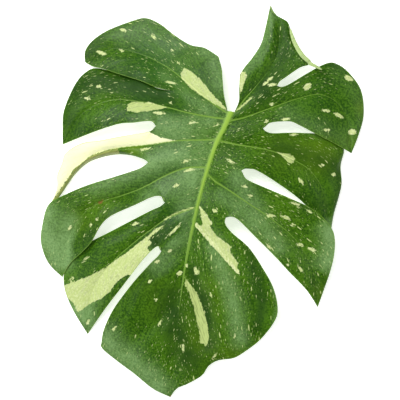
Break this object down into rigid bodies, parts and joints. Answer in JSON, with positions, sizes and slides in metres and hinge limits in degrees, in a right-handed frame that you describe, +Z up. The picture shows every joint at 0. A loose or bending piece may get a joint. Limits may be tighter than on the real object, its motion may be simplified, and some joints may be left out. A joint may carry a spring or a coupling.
{
  "type": "monstera leaf",
  "caption": "Broad split leaf with a tapering midrib and curved side veins, glossy green flecked with cream; it lies on the tips of its lobes with its upper face up",
  "frame": {"origin": "on the surface the leaf lies on, under the middle of its outline's bounding box", "axes": "+Y along the leaf from its tip to the stalk end, +Z up out of the upper face, +X to the right seen from above with the stalk end at the top"},
  "size_m": [0.2656, 0.365, 0.0266],
  "materials": {
    "leaf_blade": "waxy glossy green upper face with cream flecks, streaks and patches, paler matt underside, light green ribs"
  },
  "bodies": {
    "root": {"leaf": "leaf_blade"}
  },
  "joints": []
}
